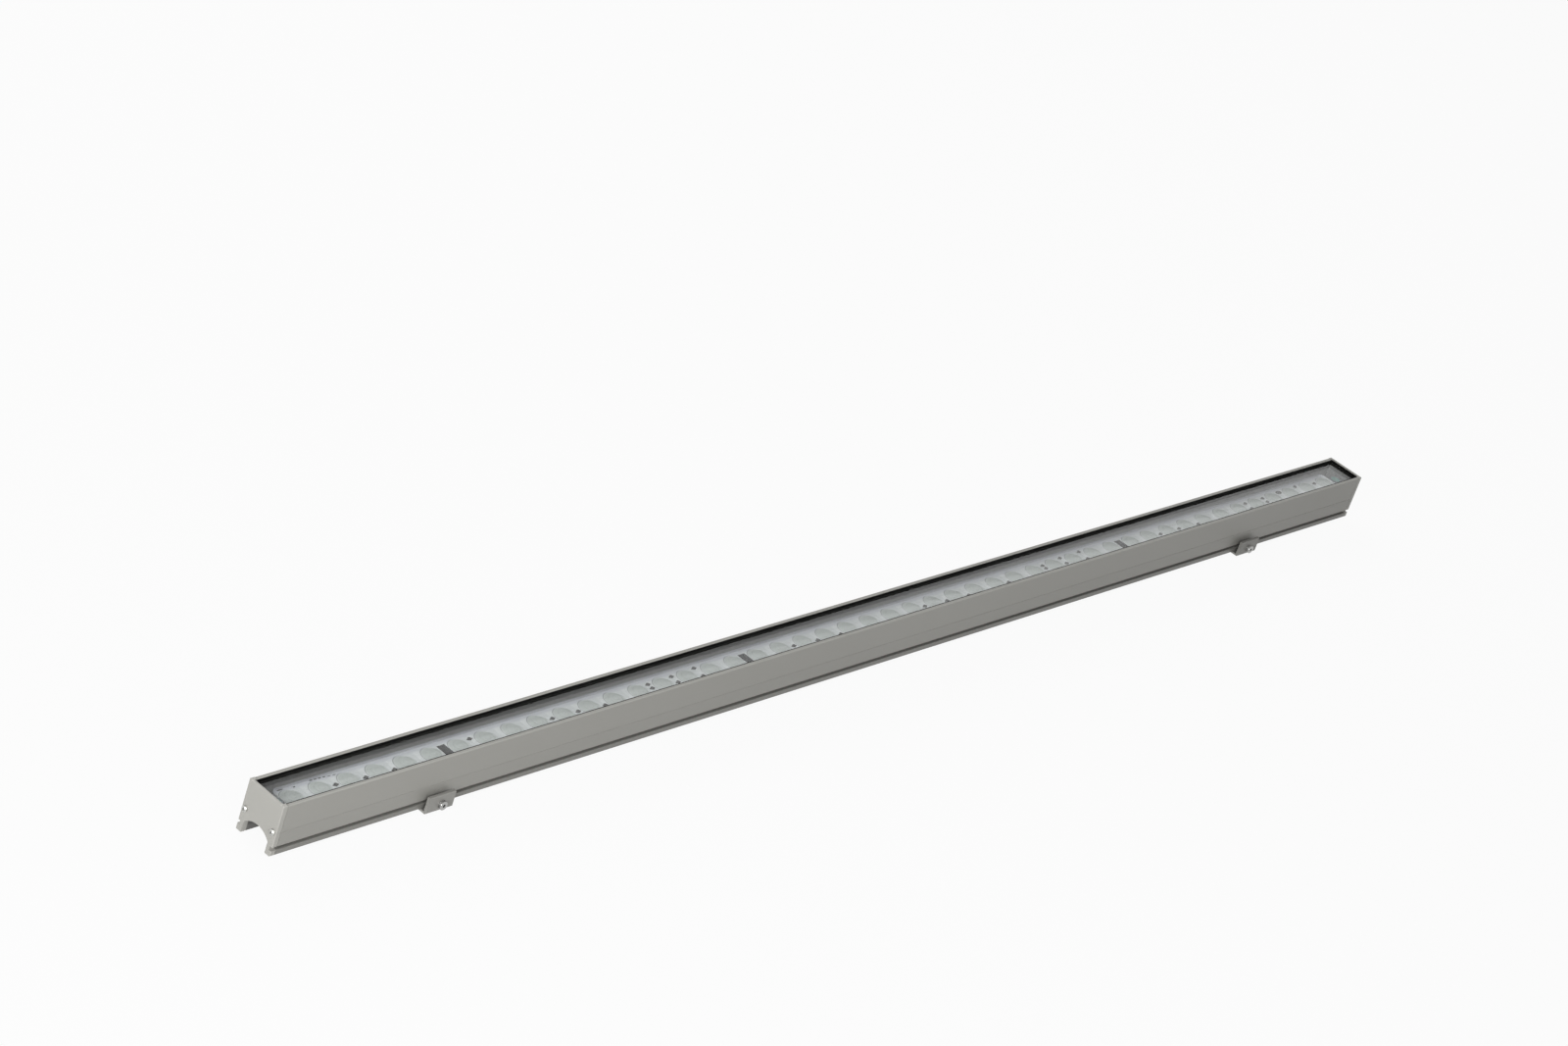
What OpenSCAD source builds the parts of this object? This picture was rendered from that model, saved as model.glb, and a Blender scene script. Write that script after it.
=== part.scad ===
// Linear wall washer lamp: an extruded channel on two slotted feet, closed by end caps and
// a glass pane, over strips of moulded lenses, held to the wall by two sliding clips.
// X runs along the lamp, its seen side faces -Y, and the wall plane is Z = 0.

/* [Housing] */
// Length over the end caps
lamp_l = 1000; // [700:10:1400]
// Width across the side faces
body_w = 27.6; // [26:0.2:32]
// Height from the feet to the rim
body_h = 31.5; // [30:0.5:36]
// Width of the rim beside the glass
rim_w = 2.2; // [1.8:0.1:2.8]
// Width of the ledge under the edge of the glass
ledge_w = 1; // [0.8:0.1:1.4]
// Width of the shelf beside the boards
shelf_w = 1.5; // [1.3:0.1:2]
// Thickness of the floor over the arch
floor_t = 2.5; // [2.2:0.1:3]
// Width of each foot
foot_w = 4.1; // [3.6:0.1:4.6]
// Height of the arch between the feet
arch_h = 10.9; // [10:0.1:11.5]
// Radius of the arch
arch_r = 12.6; // [12.2:0.1:14]
// Height of the side grooves above the feet
groove_z = 3.4; // [3.4:0.1:4]
// Width of the mouth of the side grooves
groove_h = 2.4; // [2.3:0.1:2.6]
// Depth of the side grooves
groove_d = 1.8; // [1.6:0.1:2]
// Height of the fine line on the side faces above the feet
line_z = 14.8; // [12:0.2:20]
// Width of the fine line
line_w = 0.4; // [0.2:0.1:0.8]
// Chamfer on the feet
foot_chamfer = 0.5; // [0.3:0.1:0.8]
// Chamfer on the rims
rim_chamfer = 0.3; // [0.2:0.1:0.5]

/* [End caps] */
// Thickness of an end cap
cap_t = 3; // [2.6:0.1:4]
// Width of the cap's own rim at the end of the glass
cap_rim = 1.6; // [1.6:0.1:2.2]
// Height of the cap above the rims of the housing
cap_proud = 0.3; // [0:0.1:0.6]
// Chamfer round the outer face of a cap
cap_chamfer = 0.4; // [0.2:0.1:0.6]
// Thickness of the gasket behind a cap
gasket_t = 0.6; // [0.4:0.1:1]
// Distance of a cap screw from the side face
cap_screw_in = 2.7; // [2.6:0.1:2.9]
// Shank diameter of a cap screw
cap_screw_d = 2; // [1.8:0.1:2.2]
// Length of the thread of a cap screw in the housing
cap_screw_l = 8; // [6:1:12]
// Head diameter of a cap screw
cap_head_d = 3.8; // [3.4:0.1:4.2]
// Head height of a cap screw
cap_head_h = 1.3; // [1:0.1:1.6]
// Width of the slots of a cross recess
recess_w = 0.5; // [0.4:0.1:0.7]
// Height of a cap screw above the floor
port_rise = 0.7; // [0.4:0.1:1.2]
// Wall between a cap screw and the shelf beside the boards
port_wall = 1.1; // [0.9:0.1:1.6]

/* [Glass] */
// Thickness of the glass
glass_t = 3; // [2.5:0.5:4]
// Depth of the glass below the rim
glass_recess = 1.9; // [1.5:0.1:2.5]
// Thickness of the sealing bead round the edge of the glass
seal_t = 0.6; // [0.4:0.1:0.8]
// Thickness of the sealing bead under the glass
bed_t = 0.4; // [0.3:0.1:0.8]
// Distance of the top of the bead below the rim
seal_low = 0.35; // [0.2:0.05:0.6]

/* [Lenses and boards] */
// Distance from lens to lens
lens_pitch = 20.4; // [18:0.1:24]
// Diameter of a lens
lens_d = 14.2; // [12:0.2:14.2]
// Height from the board to the top of the lens plate
lens_h = 6; // [5.4:0.1:7]
// Height of a lens above its plate
lens_rise = 0.5; // [0.3:0.1:0.8]
// Thickness of the lens plate
plate_t = 1.4; // [1.2:0.1:2]
// Height of the border on the plate
border_h = 0.5; // [0.3:0.1:0.8]
// Width of the border on the plate
border_w = 0.8; // [0.6:0.1:1.2]
// Gap between the lens plate and the walls
plate_gap = 0.6; // [0.4:0.1:1]
// Radius of the end corners of the lens plate
plate_corner = 4; // [3:0.5:6]
// Gap between two lens strips, and between two boards
joint_gap = 0.3; // [0.2:0.1:0.6]
// Length of the screw slot across the joint of two strips
slot_l = 10.5; // [7:0.5:10.5]
// Width of that slot along the lamp
slot_w = 5.6; // [5.2:0.1:5.8]
// Thickness of a board
board_t = 1.5; // [1:0.1:2]
// Thickness of the thermal tape
tape_t = 0.3; // [0.2:0.1:0.5]
// Side of a light chip
chip_w = 3; // [2.6:0.2:3.4]
// Height of a light chip under its dome
chip_h = 0.6; // [0.5:0.1:0.8]
// Diameter of the dome on a chip
dome_d = 2.5; // [2:0.1:2.6]
// Head diameter of a board screw
board_head_d = 4.8; // [4.4:0.1:5]
// Head height of a board screw
board_head_h = 1.6; // [1.2:0.1:2]
// Shank diameter of a board screw
board_screw_d = 2.5; // [2:0.1:3]
// Floor left under the tip of a board screw
board_screw_skin = 0.7; // [0.5:0.1:1]
// Diameter of the posts that hold the lens plate above the boards
post_d = 1.6; // [1.2:0.1:2]
// Head diameter of a locating pin
pin_head_d = 2.4; // [2:0.1:2.8]
// Shank diameter of a locating pin
pin_d = 1.2; // [1:0.1:1.6]
// Length of a resistor
resistor_l = 2; // [1.6:0.1:3.2]
// Width of a resistor
resistor_w = 1.25; // [0.8:0.05:1.6]
// Height of a resistor
resistor_h = 0.6; // [0.4:0.1:0.8]
// Length of a link between two boards
link_l = 4; // [3:0.5:5]
// Width of a link
link_w = 1; // [0.8:0.1:1.4]
// Thickness of a link
link_t = 0.4; // [0.3:0.1:0.6]

/* [Cable glands] */
// Diameter of the cable that a gland takes
cable_d = 5; // [4.6:0.1:5.2]
// Outer diameter of the gland's tube
gland_d = 8; // [7.8:0.1:8.2]
// Diameter of the gland's head in the arch
gland_head_d = 9.2; // [9:0.1:9.4]
// Height of the gland's head
gland_head_h = 1.8; // [1.4:0.1:2]
// Depth of the flat that the head seats on, from the top of the arch
gland_flat = 0.3; // [0.2:0.1:0.5]
// Height of the gland's tube above the floor
gland_rise = 8.6; // [7:0.2:9]
// Width of the lock nut across its flats
nut_w = 8.8; // [8.6:0.1:9]
// Height of the lock nut
nut_h = 2.6; // [2:0.2:4]
// Thickness of the seal round the cable
seal_wall = 0.6; // [0.4:0.1:0.8]
// Thickness of the skin that closes the seal
skin_t = 1.4; // [1:0.1:2]

/* [Clips] */
// Distance of the left clamp screw from the left end
clip_left_in = 119.3; // [60:0.1:200]
// Distance of the right clamp screw from the right end
clip_right_in = 124.9; // [60:0.1:200]
// Length of a clip along the lamp
clip_l = 19.6; // [18:0.2:30]
// Distance of the clamp screw from the middle of its clip
clip_off = 0.8; // [0:0.2:2.4]
// Thickness of the clip's base under the feet
clip_base_t = 1.2; // [1:0.1:2]
// Thickness of the clip's front plate
clip_plate_t = 2; // [1.8:0.1:2.4]
// Gap between the front plate and the lamp
clip_gap = 2.3; // [2:0.1:3]
// Height of the front plate above the feet
clip_plate_h = 9.5; // [8.5:0.1:11]
// Thickness of the hook behind the lamp
hook_t = 1.6; // [1.4:0.1:2]
// Chamfer on the clip's edges
clip_chamfer = 0.5; // [0.3:0.1:0.8]
// Chamfer at the foot of the front plate
clip_foot_chamfer = 1; // [0.4:0.1:1.2]
// Diameter of the wall screw hole in the base
wall_hole_d = 4.5; // [3.5:0.1:5.5]
// Diameter of the clamp screw
clamp_d = 3; // [2.8:0.1:3.2]
// Height of the clamp screw above the feet
clamp_up = 3.2; // [3:0.1:4.4]
// Head diameter of the clamp screw
clamp_head_d = 5.5; // [5:0.1:6]
// Head height of the clamp screw
clamp_head_h = 2; // [1.6:0.1:3]
// Width of the hexagon socket across its flats
socket_w = 2; // [1.8:0.1:2.5]
// Depth of the hexagon socket
socket_d = 1.2; // [0.8:0.1:1.4]
// Bevel on the head of the clamp screw
clamp_bevel = 0.3; // [0.2:0.1:0.5]

/* [Hidden] */
$fn = 48;
e = 0.5;           // how far a cut runs past a face
fit = 0.3;         // clearance between pieces that move past each other
seat = 0.1;        // clearance of a piece in its recess
running = 0.05;    // radial clearance of a screw in its thread
gland_wall = 0.4;  // wall left between the gland's flat and the end of the housing

// Across the lamp
half_l = lamp_l / 2;
half_w = body_w / 2;
arch_half = half_w - foot_w;
pocket_half = half_w - rim_w;
cavity_half = pocket_half - ledge_w;
channel_half = cavity_half - shelf_w;
board_half = channel_half - seat;
plate_half = cavity_half - plate_gap;
glass_half = pocket_half - seal_t;

// Up from the wall
feet_z = clip_base_t;
rim_z = feet_z + body_h;
arch_z = feet_z + arch_h;
arch_cz = arch_z - arch_r;
floor_z = arch_z + floor_t;
board_z = floor_z + tape_t;
board_top = board_z + board_t;
lens_z = board_top + lens_h;
plate_z = lens_z - plate_t;
glass_top = rim_z - glass_recess;
glass_z = glass_top - glass_t;
ledge_z = glass_z - bed_t;
port_z = floor_z + port_rise;
shelf_z = port_z + cap_screw_d / 2 + port_wall;
groove_top = feet_z + groove_z + groove_h;

// Along the lamp
body_end = half_l - cap_t - gasket_t;
glass_end = half_l - cap_rim - seal_t;
gland_x = body_end - gland_wall - seat - gland_head_d / 2;
gland_flat_z = arch_z + gland_flat;
gland_foot_z = gland_flat_z - gland_head_h;
gland_top_z = floor_z + gland_rise;
lens_end = lens_d / 2 + seat;
strip_end_max = gland_x - nut_w / 2 - 2 * seat;
lens_count = floor(2 * (strip_end_max - lens_end) / lens_pitch) + 1;
lens_run = (lens_count - 1) * lens_pitch;
strip_end = lens_run / 2 + lens_end;
// The strips hold an eighth, a quarter, three eighths and a quarter of the lenses
strip_eighths = [0, 1, 3, 6, 8];
// Locating pins: the gap between lenses, and the place across the plate as a share of its half width
pin_spots = [
    [2, -0.02], [3, -0.16], [4, -0.22], [7, 0.34], [10, -0.02], [11, -0.06], [12, -0.22],
    [14, 0.36], [14, -0.02], [15, 0.42], [15, -0.16], [16, 0.54], [16, -0.26], [20, -0.08], [21, -0.20],
    [22, -0.28], [26, -0.10], [27, -0.20], [28, -0.30], [30, -0.24], [32, 0.28], [32, -0.02], [33, 0.48],
    [33, -0.12], [34, 0.52], [34, -0.28], [38, -0.08], [39, -0.10], [40, -0.20], [43, 0.34], [43, -0.26],
    [44, 0.34], [44, -0.10], [45, 0.44], [46, 0.50], [47, 0.26]
];
strip_first = [for (s = strip_eighths) round(lens_count * s / 8)];
STRIPS = [0, 1, 2, 3];
JOINTS = [1, 2, 3];

// Clips
clip_left_x = clip_left_in - half_l;
clip_right_x = half_l - clip_right_in;
clamp_z = feet_z + clamp_up;
plate_in_y = half_w + clip_gap;
plate_out_y = plate_in_y + clip_plate_t;
clamp_tip_y = half_w + fit;
clamp_point_r = clamp_d / 2 - fit;
clamp_point_y = clamp_tip_y + fit;
clamp_face_d = clamp_head_d - 2 * clamp_bevel;

function lens_x(i) = i * lens_pitch - lens_run / 2;
function joint_x(k) = lens_x(strip_first[k] - 0.5);
function strip_start(k) = k == 0 ? -strip_end : joint_x(k) + joint_gap / 2;
function strip_stop(k) = k == 3 ? strip_end : joint_x(k + 1) - joint_gap / 2;
function is_joint(i) = len([for (k = JOINTS) if (strip_first[k] == i) k]) > 0;
function lenses_of(k) = [strip_first[k] : strip_first[k + 1] - 1];
// Gap number i lies between lens i - 1 and lens i
PINS = [for (s = pin_spots) if (s[0] < lens_count && !is_joint(s[0])) s];
RESISTOR_GAPS = [for (i = [3 : 3 : lens_count - 1]) if (!is_joint(i)) i];

GREY = [0.60, 0.60, 0.58];
CAP_GREY = [0.68, 0.68, 0.66];
BLACK = [0.07, 0.07, 0.07];
GLASS = [0.78, 0.86, 0.86, 0.35];
OPAL = [0.86, 0.88, 0.88];
WHITE = [0.93, 0.93, 0.90];
AMBER = [0.95, 0.80, 0.30];
STEEL = [0.78, 0.78, 0.77];
DARK = [0.22, 0.22, 0.21];
NYLON = [0.30, 0.35, 0.38];
TEAL = [0.36, 0.57, 0.53];
COPPER = [0.80, 0.52, 0.34];

// Extrudes a section drawn with Y across and Z up from x0 to x1 along the lamp
module along(x0, x1) {
    translate([x0, 0, 0])
        rotate([90, 0, 90])
            linear_extrude(height = x1 - x0)
                children();
}

module both_sides() {
    children();
    mirror([1, 0]) children();
}

module arch_section() {
    intersection() {
        translate([0, arch_cz]) circle(r = arch_r, $fn = 180);
        translate([-arch_half, feet_z - e]) square([2 * arch_half, arch_h + 2 * e]);
    }
}

// Outline that the housing and the caps share
module body_section(top_z) {
    difference() {
        polygon([
            [foot_chamfer - half_w, feet_z],
            [half_w - foot_chamfer, feet_z],
            [half_w, feet_z + foot_chamfer],
            [half_w, top_z - rim_chamfer],
            [half_w - rim_chamfer, top_z],
            [rim_chamfer - half_w, top_z],
            [-half_w, top_z - rim_chamfer],
            [-half_w, feet_z + foot_chamfer]
        ]);
        arch_section();
        both_sides() {
            translate([half_w - groove_d, feet_z + groove_z]) square([groove_d + e, groove_h]);
            translate([half_w, feet_z + line_z]) circle(d = line_w, $fn = 24);
        }
    }
}

// Space inside the housing: board channel, lens space and glass pocket, one above the other
module inner_section() {
    translate([-channel_half, floor_z]) square([2 * channel_half, rim_z - floor_z + e]);
    translate([-cavity_half, shelf_z]) square([2 * cavity_half, rim_z - shelf_z + e]);
    translate([-pocket_half, ledge_z]) square([2 * pocket_half, rim_z - ledge_z + e]);
    polygon([
        [-pocket_half, rim_z - rim_chamfer],
        [pocket_half, rim_z - rim_chamfer],
        [pocket_half + rim_chamfer + e, rim_z + e],
        [-pocket_half - rim_chamfer - e, rim_z + e]
    ]);
}

module at_ports() {
    for (side = [-1, 1])
        translate([0, side * (half_w - cap_screw_in), port_z])
            rotate([0, 90, 0])
                children();
}

module housing() {
    color(GREY)
        difference() {
            along(-body_end, body_end)
                difference() {
                    body_section(rim_z);
                    inner_section();
                }
            for (x = [-body_end - e, body_end - cap_screw_l - e])
                translate([x, 0, 0])
                    at_ports() cylinder(d = cap_screw_d + 2 * running, h = cap_screw_l + 2 * e);
            for (x = [-gland_x, gland_x])
                translate([x, 0, 0]) {
                    translate([0, 0, arch_z - arch_h]) cylinder(d = gland_d + 2 * running, h = body_h);
                    translate([0, 0, feet_z + e])
                        cylinder(d = gland_head_d + 2 * seat, h = gland_flat_z - feet_z - e);
                }
            for (k = JOINTS)
                translate([joint_x(k), 0, floor_z - board_screw_depth()])
                    cylinder(d = board_screw_d + 2 * running, h = floor_t);
        }
}

// Blind depth of a board screw in the floor
function board_screw_depth() = floor_t - board_screw_skin;

// Takes the sharp edges off the outer face of the left cap
module cap_edges(top_z) {
    b = cap_chamfer * sqrt(2);
    for (side = [-1, 1])
        translate([-half_l, side * half_w, rim_z / 2])
            rotate([0, 0, 45])
                cube([b, b, 2 * rim_z], center = true);
    translate([-half_l, 0, top_z])
        rotate([0, 45, 0])
            cube([b, 2 * body_w, b], center = true);
    intersection() {
        translate([-half_l, 0, arch_cz])
            rotate([0, 90, 0])
                cylinder(r1 = arch_r + cap_chamfer, r2 = arch_r, h = cap_chamfer, $fn = 180);
        translate([-half_l - e, -arch_half, feet_z])
            cube([cap_chamfer + 2 * e, 2 * arch_half, body_h]);
    }
}

module end_cap() {
    top_z = rim_z + cap_proud;
    color(CAP_GREY)
        difference() {
            along(-half_l, cap_t - half_l) body_section(top_z);
            cap_edges(top_z);
            translate([cap_rim - half_l, -pocket_half, ledge_z])
                cube([cap_t, 2 * pocket_half, body_h]);
            translate([-half_l - e, 0, 0])
                at_ports() cylinder(d = cap_screw_d + 2 * seat, h = cap_t + 2 * e);
        }
}

module end_gasket() {
    color(DARK)
        difference() {
            along(cap_t - half_l, -body_end)
                intersection() {
                    body_section(rim_z);
                    translate([2 * seat - half_w, feet_z + 2 * seat])
                        square([body_w - 4 * seat, body_h - 4 * seat]);
                }
            translate([-half_l, -pocket_half, ledge_z])
                cube([2 * cap_t, 2 * pocket_half, body_h]);
            translate([-half_l, 0, 0])
                at_ports() cylinder(d = cap_screw_d + 2 * seat, h = 2 * cap_t);
        }
}

module cap_screws() {
    color(STEEL)
        translate([-half_l, 0, 0])
            at_ports()
                difference() {
                    union() {
                        cylinder(d = cap_screw_d, h = cap_t + gasket_t + cap_screw_l - e);
                        translate([0, 0, -cap_head_h * 0.6]) cylinder(d = cap_head_d, h = cap_head_h * 0.6);
                        translate([0, 0, -cap_head_h])
                            cylinder(d1 = cap_head_d * 0.7, d2 = cap_head_d, h = cap_head_h * 0.4);
                    }
                    translate([0, 0, -cap_head_h])
                        for (turn = [0, 90])
                            rotate([0, 0, turn]) cube([cap_head_d / 2, recess_w, cap_head_h], center = true);
                }
}

module glass_cover() {
    c = rim_chamfer;
    color(GLASS)
        along(-glass_end, glass_end)
            polygon([
                [-glass_half, glass_z],
                [glass_half, glass_z],
                [glass_half, glass_top - c],
                [glass_half - c, glass_top],
                [c - glass_half, glass_top],
                [-glass_half, glass_top - c]
            ]);
}

module centred_block(half_x, half_y, z0, z1) {
    translate([-half_x, -half_y, z0]) cube([2 * half_x, 2 * half_y, z1 - z0]);
}

module glass_seal() {
    color(BLACK)
        difference() {
            centred_block(half_l - cap_rim, pocket_half, ledge_z, rim_z - seal_low);
            centred_block(glass_end, glass_half, glass_z, rim_z);
            centred_block(body_end - seat, cavity_half, ledge_z - e, glass_z + e);
        }
}

// Plan of a lens strip, drawn in from its free edges by inset, with round outer corners
module strip_plan(k, inset) {
    past = inset > 0 ? e : 0;
    r = plate_corner - inset;
    half = plate_half - inset;
    x0 = strip_start(k) + (k == 0 ? inset : -past);
    x1 = strip_stop(k) - (k == 3 ? inset : -past);
    flat0 = x0 + (k == 0 ? r : 0);
    flat1 = x1 - (k == 3 ? r : 0);
    translate([flat0, -half]) square([flat1 - flat0, 2 * half]);
    if (k == 0) round_end(x0, 1, r, half);
    if (k == 3) round_end(x1, -1, r, half);
}

module round_end(x, way, r, half) {
    translate([x, 0])
        mirror([way < 0 ? 1 : 0, 0]) {
            translate([0, r - half]) square([r, 2 * (half - r)]);
            for (side = [-1, 1]) translate([r, side * (half - r)]) circle(r = r);
        }
}

// One moulded lens, as it is turned: bowl under the plate, dome above it, hollow for the chip
module lens_body() {
    dome_r = (pow(lens_d / 2, 2) + pow(lens_rise, 2)) / (2 * lens_rise);
    translate([0, 0, board_top + seat])
        cylinder(d1 = lens_d * 0.6, d2 = lens_d, h = lens_h - plate_t / 2 - seat);
    intersection() {
        translate([0, 0, lens_z + lens_rise - dome_r]) sphere(r = dome_r, $fn = 180);
        translate([0, 0, plate_z + plate_t / 2]) cylinder(d = lens_d, h = plate_t);
    }
}

module chip_hollow() {
    hollow_d = chip_w * sqrt(2) + 4 * seat;
    translate([0, 0, board_top - e]) cylinder(d = hollow_d, h = chip_h + dome_d / 2 + 2 * seat + e);
}

module lens_strip(k) {
    color(OPAL)
        difference() {
            union() {
                translate([0, 0, plate_z]) linear_extrude(height = plate_t) strip_plan(k, 0);
                translate([0, 0, lens_z - e])
                    linear_extrude(height = border_h + e)
                        difference() {
                            strip_plan(k, 0);
                            strip_plan(k, border_w);
                        }
                for (i = lenses_of(k)) {
                    translate([lens_x(i), 0, 0]) lens_body();
                    if (i > strip_first[k])
                        for (side = [-1, 1])
                            translate([lens_x(i - 0.5), side * (board_half - post_d), board_top])
                                cylinder(d = post_d, h = lens_h - plate_t / 2, $fn = 24);
                }
            }
            for (i = lenses_of(k)) translate([lens_x(i), 0, 0]) chip_hollow();
            for (j = JOINTS) slot(joint_x(j));
            at_pins() cylinder(d = pin_d + 2 * running, h = rim_z, $fn = 24);
        }
}

// Slot for a board screw, across the joint of two strips
module slot(x) {
    r = slot_w / 3;
    translate([x, 0, board_top])
        linear_extrude(height = body_h) {
            square([slot_w - 2 * r, slot_l], center = true);
            square([slot_w, slot_l - 2 * r], center = true);
            for (i = [-1, 1]) for (j = [-1, 1])
                translate([i * (slot_w / 2 - r), j * (slot_l / 2 - r)]) circle(r = r);
        }
}

module at_pins() {
    for (s = PINS)
        translate([lens_x(s[0] - 0.5), s[1] * plate_half, 0])
            children();
}

module lens_pins() {
    color(DARK)
        at_pins() {
            translate([0, 0, board_top]) cylinder(d = pin_d, h = lens_h, $fn = 24);
            translate([0, 0, lens_z]) cylinder(d = pin_head_d, h = border_h, $fn = 24);
        }
}

// A board, or the tape under it, with half holes for the screws at its joints
module board_plan(k) {
    difference() {
        translate([strip_start(k), -board_half]) square([strip_stop(k) - strip_start(k), 2 * board_half]);
        for (j = JOINTS) translate([joint_x(j), 0]) circle(d = board_screw_d + 4 * seat);
    }
}

module led_board(k) {
    color(WHITE) translate([0, 0, board_z]) linear_extrude(height = board_t) board_plan(k);
}

module thermal_tape() {
    color(DARK)
        for (k = STRIPS)
            translate([0, 0, floor_z]) linear_extrude(height = tape_t) board_plan(k);
}

module led_chips(k) {
    color(AMBER)
        for (i = lenses_of(k))
            translate([lens_x(i), 0, board_top]) {
                translate([-chip_w / 2, -chip_w / 2, 0]) cube([chip_w, chip_w, chip_h]);
                translate([0, 0, chip_h])
                    intersection() {
                        sphere(d = dome_d);
                        cylinder(d = 2 * dome_d, h = dome_d);
                    }
            }
}

module board_resistors() {
    color(DARK)
        for (i = RESISTOR_GAPS)
            translate([lens_x(i - 0.5) - resistor_l / 2, -(board_half + resistor_w) / 2, board_top])
                cube([resistor_l, resistor_w, resistor_h]);
}

module board_screws() {
    color(DARK)
        for (k = JOINTS)
            translate([joint_x(k), 0, 0]) {
                translate([0, 0, floor_z - board_screw_depth()])
                    cylinder(d = board_screw_d, h = board_top - floor_z + board_screw_depth());
                translate([0, 0, board_top])
                    difference() {
                        cylinder(d = board_head_d, h = board_head_h);
                        translate([0, 0, board_head_h])
                            for (turn = [0, 90])
                                rotate([0, 0, turn])
                                    cube([board_head_d / 2, recess_w, board_head_h], center = true);
                    }
            }
}

module board_links() {
    color(COPPER)
        for (k = JOINTS) for (side = [-1, 1])
            translate([joint_x(k), side * (board_half - 2 * link_w), board_top + link_t / 2])
                cube([link_l, link_w, link_t], center = true);
}

module at_left_gland() {
    translate([-gland_x, 0, 0]) children();
}

module cable_gland() {
    color(NYLON)
        at_left_gland()
            difference() {
                union() {
                    translate([0, 0, gland_foot_z]) cylinder(d = gland_head_d, h = gland_head_h);
                    translate([0, 0, gland_foot_z]) cylinder(d = gland_d, h = gland_top_z - gland_foot_z);
                }
                translate([0, 0, feet_z]) cylinder(d = gland_bore_d(), h = body_h);
            }
}

function gland_bore_d() = cable_d + 2 * (seat + seal_wall);

module gland_nut() {
    color(NYLON)
        at_left_gland()
            translate([0, 0, floor_z])
                difference() {
                    rotate([0, 0, 30]) cylinder(d = nut_w * 2 / sqrt(3), h = nut_h, $fn = 6);
                    translate([0, 0, -e]) cylinder(d = gland_d + 2 * running, h = nut_h + 2 * e);
                }
}

module gland_seal() {
    color(TEAL)
        at_left_gland()
            difference() {
                translate([0, 0, gland_foot_z]) cylinder(d = gland_bore_d(), h = gland_top_z - gland_foot_z);
                translate([0, 0, gland_foot_z - e])
                    cylinder(d = cable_d + 2 * seat, h = gland_top_z - gland_foot_z - skin_t + e);
            }
}

// Section of a clip: base under the feet, front plate, and a hook into the back groove
module clip_section() {
    back_in = half_w + fit;
    back_out = back_in + hook_t;
    hook_top = groove_top - fit;
    lip_z = feet_z + groove_z + fit;
    lip_y = half_w - groove_d + fit;
    c = clip_chamfer;
    polygon([
        [clip_foot_chamfer - plate_out_y, 0],
        [back_out - c, 0],
        [back_out, c],
        [back_out, hook_top - c],
        [back_out - c, hook_top],
        [lip_y, hook_top],
        [lip_y, lip_z],
        [back_in, lip_z],
        [back_in, clip_base_t],
        [-plate_in_y, clip_base_t],
        [-plate_in_y, feet_z + clip_plate_h],
        [c - plate_out_y, feet_z + clip_plate_h],
        [-plate_out_y, feet_z + clip_plate_h - c],
        [-plate_out_y, clip_foot_chamfer]
    ]);
}

module clip(x) {
    color(GREY)
        translate([x, 0, 0])
            difference() {
                along(-clip_off - clip_l / 2, clip_l / 2 - clip_off) clip_section();
                translate([0, 0, -e]) cylinder(d = wall_hole_d, h = clip_base_t + 2 * e);
                translate([0, -plate_out_y - e, clamp_z])
                    rotate([-90, 0, 0])
                        cylinder(d = clamp_d + 2 * running, h = clip_plate_t + 2 * e);
            }
}

// Low socket head screw whose blunt point clamps on the side of the front foot
module clamp_screw(x) {
    color(STEEL)
        translate([x, -plate_out_y, clamp_z])
            rotate([-90, 0, 0])
                difference() {
                    union() {
                        translate([0, 0, clamp_bevel - clamp_head_h])
                            cylinder(d = clamp_head_d, h = clamp_head_h - clamp_bevel);
                        translate([0, 0, -clamp_head_h])
                            cylinder(d1 = clamp_face_d, d2 = clamp_head_d, h = clamp_bevel);
                        cylinder(d = clamp_d, h = plate_out_y - clamp_point_y);
                        cylinder(r = clamp_point_r, h = plate_out_y - clamp_tip_y);
                    }
                    translate([0, 0, -clamp_head_h - e])
                        cylinder(d = socket_w * 2 / sqrt(3), h = socket_d + e, $fn = 6);
                }
}

housing();
end_cap();  // end_cap_left
mirror([1, 0, 0]) end_cap();  // end_cap_right
end_gasket();  // end_gasket_left
mirror([1, 0, 0]) end_gasket();  // end_gasket_right
cap_screws();  // cap_screws_left
mirror([1, 0, 0]) cap_screws();  // cap_screws_right
glass_cover();
glass_seal();
lens_strip(0);  // lens_strip_1
lens_strip(1);  // lens_strip_2
lens_strip(2);  // lens_strip_3
lens_strip(3);  // lens_strip_4
lens_pins();
led_board(0);  // led_board_1
led_board(1);  // led_board_2
led_board(2);  // led_board_3
led_board(3);  // led_board_4
led_chips(0);  // led_chips_1
led_chips(1);  // led_chips_2
led_chips(2);  // led_chips_3
led_chips(3);  // led_chips_4
board_resistors();
board_screws();
board_links();
thermal_tape();
cable_gland();  // cable_gland_left
mirror([1, 0, 0]) cable_gland();  // cable_gland_right
gland_nut();  // gland_nut_left
mirror([1, 0, 0]) gland_nut();  // gland_nut_right
gland_seal();  // gland_seal_left
mirror([1, 0, 0]) gland_seal();  // gland_seal_right
clip(clip_left_x);  // clip_left
clip(clip_right_x);  // clip_right
clamp_screw(clip_left_x);  // clamp_screw_left
clamp_screw(clip_right_x);  // clamp_screw_right
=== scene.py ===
"""Looks of a linear wall washer lamp: finishes, fine pieces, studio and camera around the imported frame.

All sizes are metres in the lamp's own frame: X along the lamp, -Y out of its seen side, +Z off the wall.
"""

import logging
import math
from dataclasses import dataclass
from enum import Enum
from functools import cached_property

import bmesh
import bpy
from mathutils import Euler, Matrix, Vector

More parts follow.
